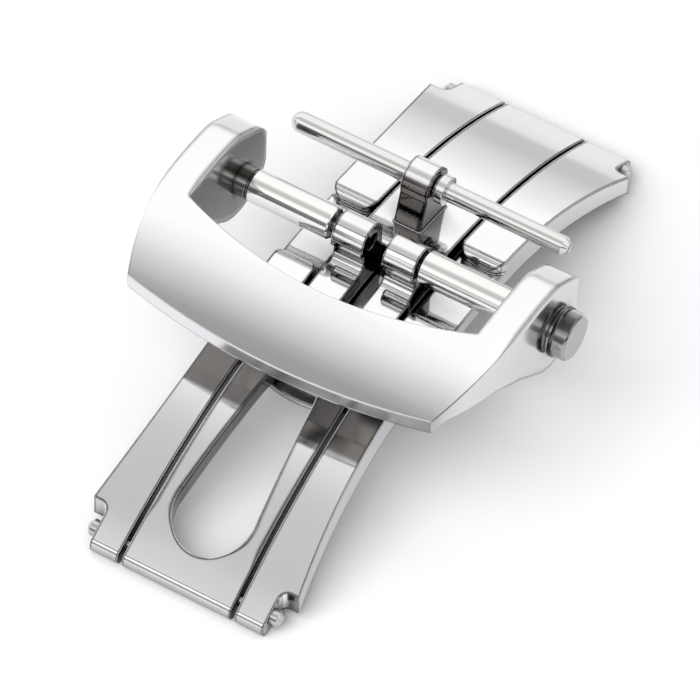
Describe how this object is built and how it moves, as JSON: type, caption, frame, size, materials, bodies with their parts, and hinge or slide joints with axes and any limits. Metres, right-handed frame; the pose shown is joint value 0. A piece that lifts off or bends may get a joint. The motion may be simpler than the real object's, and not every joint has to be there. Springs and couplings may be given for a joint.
{
  "type": "butterfly deployant clasp",
  "caption": "Butterfly deployant clasp for a watch strap: arched base with a folding blade at each end, buckle frame over rollers, and a T-bar.",
  "frame": {"origin": "middle of the bounding box at its underside: on the wrist side, below the middle of the arch; the clasp's own centre line lies 0.62 mm to -X, because only the +X side carries the rod head", "axes": "+X across the strap towards the rod head, +Y along the strap towards the far blade and its T-bar, +Z away from the wrist"},
  "size_m": [0.0238, 0.0402, 0.0122],
  "materials": {
    "polished_steel": "mirror-polished stainless steel",
    "satin_steel": "satin stainless steel, plain",
    "dark_steel": "blackened steel"
  },
  "bodies": {
    "base": {"base_frame": "polished_steel", "near_hinge_pin": "polished_steel", "far_hinge_pin": "polished_steel", "catch_cover": "satin_steel", "cover_screws": "satin_steel", "near_catch_spring": "satin_steel", "far_catch_spring": "satin_steel"},
    "near_wing": {"near_blade": "polished_steel", "near_catch_studs": "satin_steel"},
    "far_wing": {"far_blade": "polished_steel", "far_catch_studs": "satin_steel"},
    "buckle": {"buckle_frame": "polished_steel", "left_bush": "polished_steel", "left_rod": "polished_steel", "right_bush": "polished_steel", "bar_washer": "polished_steel"},
    "rod": {"headed_rod": "polished_steel", "head_washer": "dark_steel"},
    "roller_left": {"left_roller": "polished_steel"},
    "roller_right": {"right_roller": "polished_steel"},
    "tbar_screw": {"strap_bar_screw": "polished_steel"},
    "tbar_tube": {"strap_bar_tube": "polished_steel"}
  },
  "joints": [
    {"name": "near_wing_hinge", "type": "hinge", "parent": "base", "child": "near_wing", "pos_m": [-0.00063, -0.01904, 0.00089], "axis": [1, 0, 0], "range_deg": [0, 150]},
    {"name": "far_wing_hinge", "type": "hinge", "parent": "base", "child": "far_wing", "pos_m": [-0.00063, 0.01904, 0.00089], "axis": [-1, 0, 0], "range_deg": [0, 150]},
    {"name": "buckle_hinge", "type": "hinge", "parent": "near_wing", "child": "buckle", "pos_m": [-0.00063, 0.00135, 0.00835], "axis": [1, 0, 0], "range_deg": [-120, 16]},
    {"name": "rod_spin", "type": "hinge", "parent": "buckle", "child": "rod", "pos_m": [-0.00063, 0.00135, 0.00835], "axis": [1, 0, 0], "continuous": true},
    {"name": "left_roller_spin", "type": "hinge", "parent": "buckle", "child": "roller_left", "pos_m": [-0.00622, 0.00135, 0.00835], "axis": [1, 0, 0], "continuous": true},
    {"name": "right_roller_spin", "type": "hinge", "parent": "rod", "child": "roller_right", "pos_m": [0.00528, 0.00135, 0.00835], "axis": [1, 0, 0], "continuous": true},
    {"name": "tbar_spin", "type": "hinge", "parent": "far_wing", "child": "tbar_screw", "pos_m": [-0.00103, 0.00653, 0.00867], "axis": [1, 0, 0], "continuous": true},
    {"name": "tube_unscrew", "type": "hinge", "parent": "tbar_screw", "child": "tbar_tube", "pos_m": [-0.00543, 0.00653, 0.00867], "axis": [1, 0, 0], "continuous": true}
  ]
}
